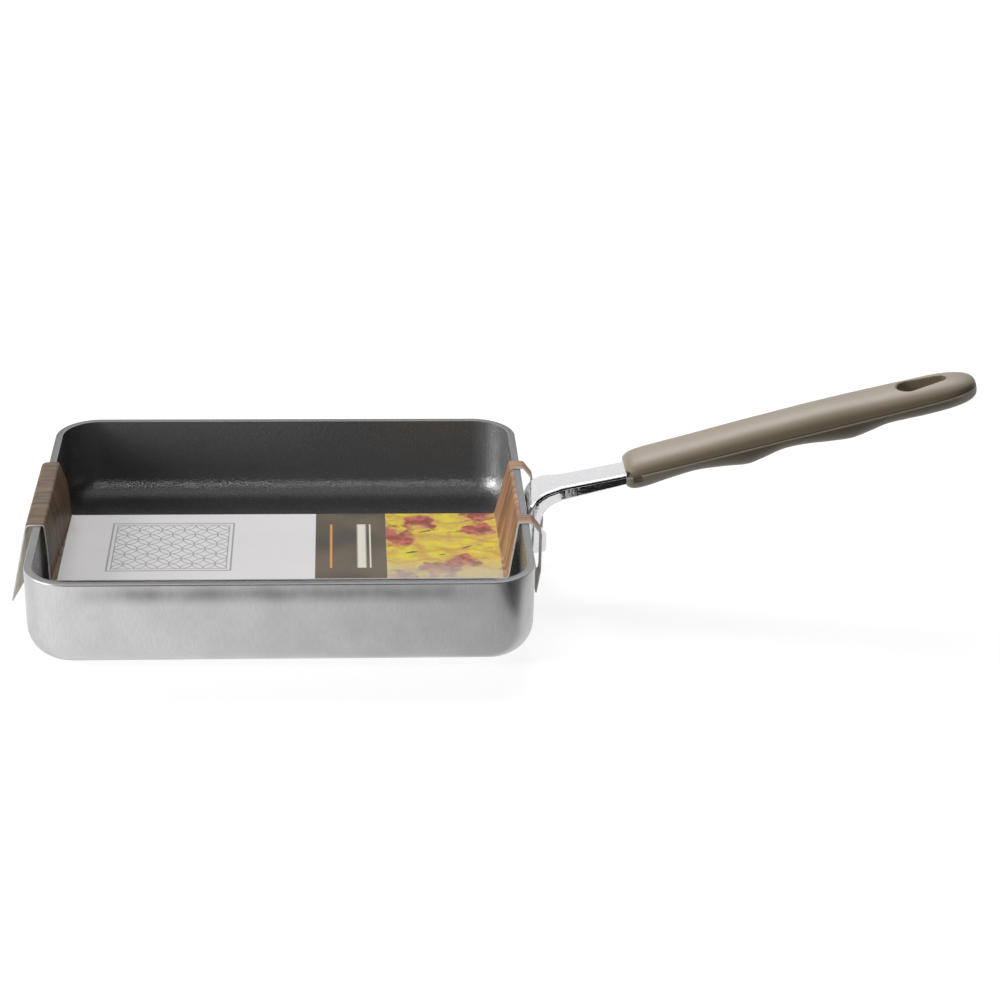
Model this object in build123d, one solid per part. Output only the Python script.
from build123d import *

import os
from math import cos, radians, sin, tan

# A small rectangular omelette pan: a pressed aluminium pan with a non-stick lining, a chromed channel
# bracket riveted to its end wall, a grip of two shells screwed round the bracket's tang, and the
# retail card that is folded over both rims.
# Millimetres. The origin is the middle of the pan's base, +X runs along the handle and +Z is up.

# Pan
pan_length = 180.0
pan_width = 150.0
pan_height = 34.0
rim_corner_radius = 17.0
base_edge_radius = 12.0
inner_edge_radius = 10.0
wall = 2.5
floor_thickness = 3.0
lip_round = 0.5
coating = 0.3
draft_degrees = 0.5

# Bracket
sheet = 1.6
strap_width = 14.0
strap_depth = 3.6
strap_degrees = 11.8
bend_radius = 11.0
knee_radius = 30.0
knee_lead = 1.4
crease_round = 1.2
foot_length = 7.5
leg_depth = 7.9
leg_width = 21.0
leg_corner_round = 1.5
step_run = 2.8
step_round = 1.2
neck_run = 1.56
neck_depth = 5.4
gusset_radius = 8.0
gusset_drop = 5.6
flare_start = 4.0
flare_length = 9.5
flare_round = 7.0

# Rivets
rivet_step_gap = 0.7
rivet_radius = 2.4
rivet_head_margin = 0.7
rivet_head_height = 1.1
rivet_tail_height = 1.7
rivet_edge_gap = 0.5
rivet_middle_gap = 1.2
rivet_clearance = 0.05

# Grip
mouth_reach = 37.2
mouth_rise = 10.8
mouth_turn_degrees = 11.0
mouth_turn_run = 12.0
grip_degrees = 15.0
grip_length = 134.1
grip_side_wall = 4.4
grip_crown = 6.0
grip_depth = 8.9
seam_step = 0.35
tang_clearance = 0.2
slot_tip_wall = 10.4
slot_run = 11.3
slot_start_radius = 4.6
slot_end_radius = 2.6
slot_rim_round = 0.8
notch_start = 2.2
notch_length = 3.4
notch_height = 2.8
notch_depth = 2.1

# Grip screws
front_screw = 30.0
rear_screw_lead = 22.7
tang_end_gap = 24.0
screw_radius = 1.9
screw_clearance = 0.2
screw_head_radius = 3.6
screw_head_height = 2.1
front_head_seat = 3.4
rear_head_seat = 5.0
screw_reach = 3.4
post_side_gap = 0.3
post_clearance = 0.2
drive_width = 0.9
drive_length = 4.2
drive_depth = 1.1

# Card
card = 0.5
card_width = 57.0
card_shift = 2.5
bed_height = 12.0
panel_gap = 1.1
panel_round = 0.8
fold_round = 1.0
left_lean_front = 2.3
left_lean_rear = 4.8
right_lean_front = 4.4
right_lean_rear = 6.4
left_shoulder = 2.6
left_splay_front = 9.0
left_splay_rear = 1.8
left_bottom_front = 3.9
left_bottom_rear = 1.8
left_shoulder_round = 2.0
right_shoulder = 1.2
right_splay = 4.6
right_elbow_drop = 4.4
right_knee_rise = 5.0
right_bottom_splay = 3.2
right_flap_margin = 4.0
right_fold_round = 1.4
window_front = 19.0
window_rear = 24.0
window_drop = 4.5
window_round = 2.0

# How far a cutting solid runs past what it cuts
overrun = 2.0

# The grip's outline: place along the grip, half width, crown and depth, each as a share of the
# length, of the largest half width, of the crown and of the depth.
grip_shares = [
    (0.0, 0.82, 0.42, 0.62),
    (0.008, 0.885, 0.6, 0.76),
    (0.022, 0.93, 0.73, 0.85),
    (0.05, 0.965, 0.78, 0.85),
    (0.11, 0.98, 0.82, 0.74),
    (0.19, 0.985, 0.85, 0.655),
    (0.264, 0.985, 0.9, 0.8),
    (0.336, 0.985, 0.95, 0.995),
    (0.378, 0.985, 0.965, 0.89),
    (0.44, 0.985, 0.98, 0.67),
    (0.5, 0.985, 1.0, 0.7),
    (0.565, 0.99, 1.0, 0.86),
    (0.632, 0.995, 0.98, 0.98),
    (0.68, 1.0, 0.95, 0.86),
    (0.735, 1.0, 0.915, 0.69),
    (0.79, 0.995, 0.88, 0.7),
    (0.835, 0.98, 0.84, 0.74),
]
tip_turn_degrees = [16, 32, 47, 60, 71, 80, 86]
tip_width_power_share = 2.7
tip_crown_power_share = 0.7
tip_depth_power_share = 4.5
# Half of the grip's section bends at two points: one beside the seam, one beside the crest.
side_height_share = 0.62
crest_width_share = 0.66
upper_side_share = 0.97
lower_side_share = 0.86
dome_share = 0.9
left_mid_height_share = 0.62
left_mid_lean_share = 0.8
crease_tolerance_share = 0.01

half_length = pan_length / 2
rim_inside = half_length - wall - coating
draft = radians(draft_degrees)

# Places along the grip, each worked out from the one nearer to the tip
slot_start = grip_length - slot_tip_wall - slot_end_radius - slot_run
rear_screw = slot_start - rear_screw_lead
tang_length = rear_screw - tang_end_gap

# Room in the grip for the tang and the screws
grip_half_width = strap_width / 2 + grip_side_wall
screw_hole_radius = screw_radius + screw_clearance
post_radius = strap_width / 2 - sheet - post_side_gap

# The two rivets' tails share the room between the leg's flanges
rivet_room = leg_width / 2 - sheet
rivet_tail_radius = (rivet_room - rivet_edge_gap - rivet_middle_gap) / 2
rivet_head_radius = rivet_tail_radius + rivet_head_margin
rivet_offset = rivet_middle_gap + rivet_tail_radius


def upright(points, radii):
    """A closed outline of (x, z) corners in the plane through the handle."""
    return make_face(Plane.XZ * FilletPolyline(points, radius=radii, close=True))


def shifted(points, distance):
    """An open chain of corners moved sideways, to the right of the way it runs."""
    steps = [(end - start).normalized() for start, end in zip(points, points[1:])]
    normals = [Vector(step.Y, -step.X) for step in steps]
    before = normals[:1] + normals
    after = normals + normals[-1:]
    return [
        point + (one + two) * (distance / (1 + one.dot(two)))
        for point, one, two in zip(points, before, after)
    ]


def wall_x(z):
    """How far out the pan's drafted end wall lies at a height."""
    return half_length - (pan_height - z) * tan(draft)


def hung_block(inset, depth):
    """A rounded box hung from the rim's plane, narrower below by the draft."""
    outline = RectangleRounded(
        pan_length - inset - inset, pan_width - inset - inset, rim_corner_radius - inset
    )
    rim_plane = Plane(origin=(0, 0, pan_height), x_dir=(1, 0, 0), z_dir=(0, 0, -1))
    return extrude(rim_plane * outline, amount=depth, taper=draft_degrees)


def rounded_below(block, radius):
    """The block with the edges of its lowest face rounded."""
    return fillet(block.faces().sort_by(Axis.Z)[0].edges(), radius)


def hollow(inset):
    """The space inside the pan, taken in by a thickness on every side."""
    depth = pan_height - floor_thickness - (inset - wall)
    return rounded_below(hung_block(inset, depth), inner_edge_radius - (inset - wall))


# Pan and lining

pan_outside = rounded_below(hung_block(0, pan_height), base_edge_radius)
rim_edges = pan_outside.faces().sort_by(Axis.Z)[-1].edges()
pan_outside = fillet(rim_edges, lip_round)
pan_inside = hollow(wall)
lining_inside = hollow(wall + coating)
pan_body = pan_outside - pan_inside
nonstick_coating = pan_inside - lining_inside

# Lines of the handle, in the plane through its middle

grip_axis = Vector(cos(radians(grip_degrees)), sin(radians(grip_degrees)))
grip_up = Vector(-sin(radians(grip_degrees)), cos(radians(grip_degrees)))
mouth = Vector(half_length + mouth_reach, pan_height + mouth_rise)
knee = mouth - grip_axis * knee_lead
strap_rise = tan(radians(strap_degrees))
bend_height = knee.Y - (knee.X - half_length) * strap_rise
tang_end = mouth + grip_axis * tang_length

# Heights on the bracket's leg, each worked out from the one above it
gusset = Vector(half_length + neck_depth, bend_height + neck_depth * strap_rise - gusset_drop)
free_edge_knee = knee - grip_up * strap_depth
gusset_turn = (free_edge_knee - gusset).get_angle(Vector(0, 1))
step_top = gusset.Y - gusset_radius * tan(radians(gusset_turn / 2)) - neck_run
step_bottom = step_top - step_run
rivet_height = step_bottom - rivet_step_gap
leg_bottom = step_bottom - foot_length
window_bottom = leg_bottom - window_drop
right_knee = window_bottom + right_knee_rise
right_flap_bottom = window_bottom - right_flap_margin

web_line = [
    Vector(wall_x(leg_bottom), leg_bottom),
    Vector(wall_x(bend_height), bend_height),
    knee,
    tang_end,
]

grip_frame = Plane(
    origin=(mouth.X, 0, mouth.Y),
    x_dir=(grip_axis.X, 0, grip_axis.Y),
    z_dir=(grip_up.X, 0, grip_up.Y),
)


def screw_plane(place, seat):
    """A screw's seat below the seam, looking up through the grip."""
    return grip_frame * Pos(place, 0, -seat)


# Bracket

def bracket_side():
    """The side view of the folded channel: web line above, free edge of the flanges below."""
    leg_x = half_length + leg_depth
    free_edge = [
        tang_end - grip_up * strap_depth,
        free_edge_knee,
        gusset,
        Vector(gusset.X, step_top),
        Vector(leg_x, step_bottom),
        Vector(leg_x, leg_bottom),
    ]
    radii = [0, bend_radius, knee_radius, 0, 0, knee_radius, gusset_radius, step_round, step_round]
    return upright(web_line + free_edge, radii + [leg_corner_round])


def bracket_inside():
    """The side view of what lies under the web, as far as past the free edges."""
    inner_line = shifted(web_line, sheet)
    inner_line[0] = inner_line[0] - (inner_line[1] - inner_line[0]).normalized() * overrun
    inner_line[-1] = inner_line[-1] + grip_axis * overrun
    closing = Vector(inner_line[-1].X, inner_line[0].Y)
    return upright(inner_line + [closing], [0, bend_radius - sheet, knee_radius + sheet, 0, 0])


def bracket_plan(inset):
    """The plan view of the channel, which flares towards the wall."""
    flare_end = half_length + flare_start + flare_length
    edge = shifted(
        [
            Vector(half_length - overrun, leg_width / 2),
            Vector(half_length + flare_start, leg_width / 2),
            Vector(flare_end, strap_width / 2),
            Vector(tang_end.X + overrun, strap_width / 2),
        ],
        inset,
    )
    radii = [0, flare_round - inset, flare_round + inset, 0]
    far_edge = [Vector(point.X, -point.Y) for point in reversed(edge)]
    outline = FilletPolyline(edge + far_edge, radius=radii + radii[::-1], close=True)
    return extrude(make_face(outline), amount=tang_end.Y + overrun)


def rivet_places():
    """Planes on the lining's face, looking outwards through the end wall."""
    seat_x = rim_inside - (pan_height - rivet_height) * tan(draft)
    return [
        Plane(origin=(seat_x, side * rivet_offset, rivet_height), z_dir=(cos(draft), 0, -sin(draft)))
        for side in (-1, 1)
    ]


def through_wall(solid):
    """The solid with the rivets' holes in it."""
    hole = Cylinder(rivet_radius + rivet_clearance, leg_depth + overrun, align=(Align.CENTER,) * 3)
    for place in rivet_places():
        solid = solid - place * hole
    return solid


web_wire = Plane.XZ * FilletPolyline(web_line, radius=[bend_radius, knee_radius])
bracket_block = extrude(bracket_side(), amount=leg_width, both=True) & bracket_plan(0)


def on_crease(edge):
    """Whether an edge runs along the fold between the web and a flange."""
    middle = edge.position_at(0.5)
    below = web_wire.distance_to(Vertex(middle.X, 0, middle.Z))
    return below < sheet * crease_tolerance_share and abs(middle.Y) > strap_width / 2 - sheet


bracket_block = fillet(bracket_block.edges().filter_by(on_crease), crease_round)
bracket_hollow = extrude(bracket_inside(), amount=leg_width, both=True) & bracket_plan(sheet)
handle_bracket = through_wall(bracket_block - bracket_hollow)
tang_hole = Cylinder(screw_hole_radius, strap_depth + overrun)
handle_bracket = handle_bracket - screw_plane(front_screw, 0) * tang_hole

pan_body = through_wall(pan_body)
nonstick_coating = through_wall(nonstick_coating)

# Rivets

def stud(radius, height):
    """A disc with a rounded top edge."""
    disc = Cylinder(radius, height, align=(Align.CENTER, Align.CENTER, Align.MIN))
    return fillet(disc.edges().sort_by(Axis.Z)[-1], height * dome_share)


def rivet_shape():
    """One set rivet: a low head inside the pan, a shank, and a formed tail in the channel."""
    grip = coating + wall + sheet
    shank = Cylinder(rivet_radius, grip, align=(Align.CENTER, Align.CENTER, Align.MIN))
    head = Rot(180, 0, 0) * stud(rivet_head_radius, rivet_head_height)
    tail = Pos(0, 0, grip) * stud(rivet_tail_radius, rivet_tail_height)
    return shank + head + tail


bracket_rivets = Compound(children=[place * rivet_shape() for place in rivet_places()])

# Grip

def grip_section(place, half_width, height):
    """Half of the grip's cross section, above the seam or, with a negative height, below it.

    Towards the mouth the sections turn, so that the mouth stands nearly upright.
    """
    side_share = upper_side_share if height > 0 else lower_side_share
    side = (side_share * half_width, side_height_share * height)
    crest = (crest_width_share * half_width, height)
    near = Bezier((-half_width, 0), (-side[0], side[1]), (-crest[0], crest[1]), (0, height))
    far = Bezier((0, height), crest, side, (half_width, 0))
    seam = Line((half_width, 0), (-half_width, 0))
    point = mouth + grip_axis * place
    turn = mouth_turn_degrees * max(0, 1 - place / mouth_turn_run) ** 2
    ahead = radians(grip_degrees - turn)
    across = Plane(origin=(point.X, 0, point.Y), x_dir=(0, 1, 0), z_dir=(cos(ahead), 0, sin(ahead)))
    return across * make_face(near + far + seam)


def grip_stations():
    """Place, half width, crown and depth of each section, with the rounded tip by formula."""
    rows = [
        (place * grip_length, wide * grip_half_width, high * grip_crown, deep * grip_depth)
        for place, wide, high, deep in grip_shares
    ]
    last_place, last_width, last_crown, last_depth = rows[-1]
    for turn in tip_turn_degrees:
        along = sin(radians(turn))
        rows.append(
            (
                last_place + (grip_length - last_place) * along,
                last_width * (1 - along**tip_width_power_share) ** (1 / tip_width_power_share),
                last_crown * cos(radians(turn)) ** tip_crown_power_share,
                last_depth * (1 - along**tip_depth_power_share) ** (1 / tip_depth_power_share),
            )
        )
    return rows


def hang_slot():
    """A teardrop hole through both shells, wide towards the pan and narrow towards the tip."""
    wide_end = Pos(slot_start, 0) * Circle(slot_start_radius)
    narrow_end = Pos(slot_start + slot_run, 0) * Circle(slot_end_radius)
    outline = make_hull(wide_end.edges() + narrow_end.edges())
    return extrude(grip_frame * outline, amount=grip_depth + overrun, both=True)


def seam_notches():
    """The small notch in each side of the seam, next to the mouth."""
    notch = Box(notch_length, notch_depth + overrun, notch_height)
    reach = grip_half_width - notch_depth + (notch_depth + overrun) / 2
    middle = notch_start + notch_length / 2
    return [grip_frame * Pos(middle, side * reach, -notch_height / 2) * notch for side in (-1, 1)]


def on_slot_rim(edge):
    """Whether an edge runs round the slot in the grip's outer face."""
    middle = grip_frame.to_local_coords(edge.position_at(0.5))
    reach = slot_start_radius + seam_step
    along = slot_start - reach < middle.X < slot_start + slot_run + reach
    upright_edge = any(abs(grip_frame.to_local_coords(edge @ end).Z) < seam_step for end in (0, 1))
    return along and abs(middle.Y) < reach and not upright_edge


def grip_shell(side, inset):
    """One outer shell of the grip, with its slot, whose rim is rounded."""
    sections = [
        grip_section(place, half_width - inset, crown if side > 0 else -depth)
        for place, half_width, crown, depth in grip_stations()
    ]
    shell = loft(sections) - hang_slot()
    return fillet([edge for edge in shell.edges() if on_slot_rim(edge)], slot_rim_round)


def screw_holes(place, seat):
    """Recess for a screw's head, open below, and the hole for its shank."""
    recess = Cylinder(
        screw_head_radius + tang_clearance, grip_depth, align=(Align.CENTER, Align.CENTER, Align.MAX)
    )
    shank = Cylinder(
        screw_hole_radius, seat + screw_reach, align=(Align.CENTER, Align.CENTER, Align.MIN)
    )
    return [screw_plane(place, seat) * recess, screw_plane(place, seat) * shank]


pocket_width = strap_width + tang_clearance + tang_clearance
pocket_depth = strap_depth + tang_clearance
pocket = Box(
    tang_length + tang_clearance + overrun, pocket_width, pocket_depth,
    align=(Align.MIN, Align.CENTER, Align.MAX),
)
post = Cylinder(
    post_radius, pocket_depth - sheet - post_clearance, align=(Align.CENTER, Align.CENTER, Align.MIN)
)

grip_upper = grip_shell(1, seam_step)
grip_lower = grip_shell(-1, 0)
grip_lower = grip_lower - grip_frame * Pos(-overrun, 0, 0) * pocket
grip_lower = grip_lower + screw_plane(front_screw, pocket_depth) * post
for cut in seam_notches():
    grip_lower = grip_lower - cut
for place, seat in ((front_screw, front_head_seat), (rear_screw, rear_head_seat)):
    for cut in screw_holes(place, seat):
        grip_lower = grip_lower - cut
    pilot = Cylinder(screw_radius, screw_reach, align=(Align.CENTER, Align.CENTER, Align.MIN))
    grip_upper = grip_upper - screw_plane(place, 0) * pilot

# Screws

def screw_shape(seat):
    """A pan head screw with a cross drive, its head below its seat."""
    head = Cylinder(
        screw_head_radius, screw_head_height, align=(Align.CENTER, Align.CENTER, Align.MAX)
    )
    head = fillet(head.edges().sort_by(Axis.Z)[0], screw_head_height / 2)
    shank = Cylinder(
        screw_radius, seat + screw_reach, align=(Align.CENTER, Align.CENTER, Align.MIN)
    )
    blade = Box(drive_length, drive_width, drive_depth, align=(Align.CENTER, Align.CENTER, Align.MIN))
    drive = Pos(0, 0, -screw_head_height) * (blade + Rot(0, 0, 90) * blade)
    return head + shank - drive


grip_screws = Compound(
    children=[
        screw_plane(front_screw, front_head_seat) * screw_shape(front_head_seat),
        screw_plane(rear_screw, rear_head_seat) * screw_shape(rear_head_seat),
    ]
)

# Card

def card_line(left_lean, left_splay, left_bottom, right_lean):
    """The card's middle line from the left flap's lower edge to the right flap's."""
    top = pan_height + card / 2
    inner_top = rim_inside - panel_gap
    mid_height = bed_height + (top - bed_height) * left_mid_height_share
    mid_lean = left_lean * left_mid_lean_share
    right_out = half_length + right_splay
    return [
        Vector(-half_length - left_splay, left_bottom),
        Vector(-half_length - left_shoulder, top),
        Vector(-inner_top, top),
        Vector(-rim_inside + mid_lean, mid_height),
        Vector(-rim_inside + left_lean, bed_height),
        Vector(rim_inside - right_lean, bed_height),
        Vector(inner_top, top),
        Vector(half_length + right_shoulder, top),
        Vector(right_out, top - right_elbow_drop),
        Vector(right_out, right_knee),
        Vector(half_length + right_bottom_splay, right_flap_bottom),
    ]


def card_end(y, left_lean, left_splay, left_bottom, right_lean):
    """The card's cut edge at one side, as a face."""
    line = card_line(left_lean, left_splay, left_bottom, right_lean)
    steps = [end - start for start, end in zip(line, line[1:])]
    turns = [one.cross(two).Z for one, two in zip(steps, steps[1:])]
    folds = [left_shoulder_round, panel_round, right_fold_round, fold_round, fold_round]
    folds = folds + [panel_round, right_fold_round, right_fold_round, right_fold_round]

    def side(distance):
        bends = [fold + distance * (1 if turn > 0 else -1) for fold, turn in zip(folds, turns)]
        return shifted(line, distance), [0] + bends + [0]

    right_points, right_radii = side(card / 2)
    left_points, left_radii = side(-card / 2)
    outline = FilletPolyline(
        right_points + left_points[::-1], radius=right_radii + left_radii[::-1], close=True
    )
    return Plane.XZ.offset(-y) * make_face(outline)


def handle_window():
    """The opening in the right flap, over the rim, for the bracket."""
    width = window_front + window_rear
    height = pan_height + overrun - window_bottom
    outline = Box(
        right_splay + wall + coating + overrun, width, height,
        align=(Align.MIN, Align.MIN, Align.MIN),
    )
    outline = fillet(outline.edges().filter_by(Axis.X).group_by(Axis.Z)[0], window_round)
    return Pos(rim_inside, -window_front, window_bottom) * outline


card_front = card_end(
    card_shift - card_width / 2, left_lean_front, left_splay_front, left_bottom_front, right_lean_front
)
card_rear = card_end(
    card_shift + card_width / 2, left_lean_rear, left_splay_rear, left_bottom_rear, right_lean_rear
)
card_sleeve = loft([card_front, card_rear], ruled=True) - handle_window()

nodes = {
    "pan_body": pan_body,
    "nonstick_coating": nonstick_coating,
    "handle_bracket": handle_bracket,
    "bracket_rivets": bracket_rivets,
    "grip_lower": grip_lower,
    "grip_upper": grip_upper,
    "grip_screws": grip_screws,
    "card_sleeve": card_sleeve,
}

os.makedirs("parts", exist_ok=True)
for name, shape in nodes.items():
    export_step(shape, f"parts/{name}.step")
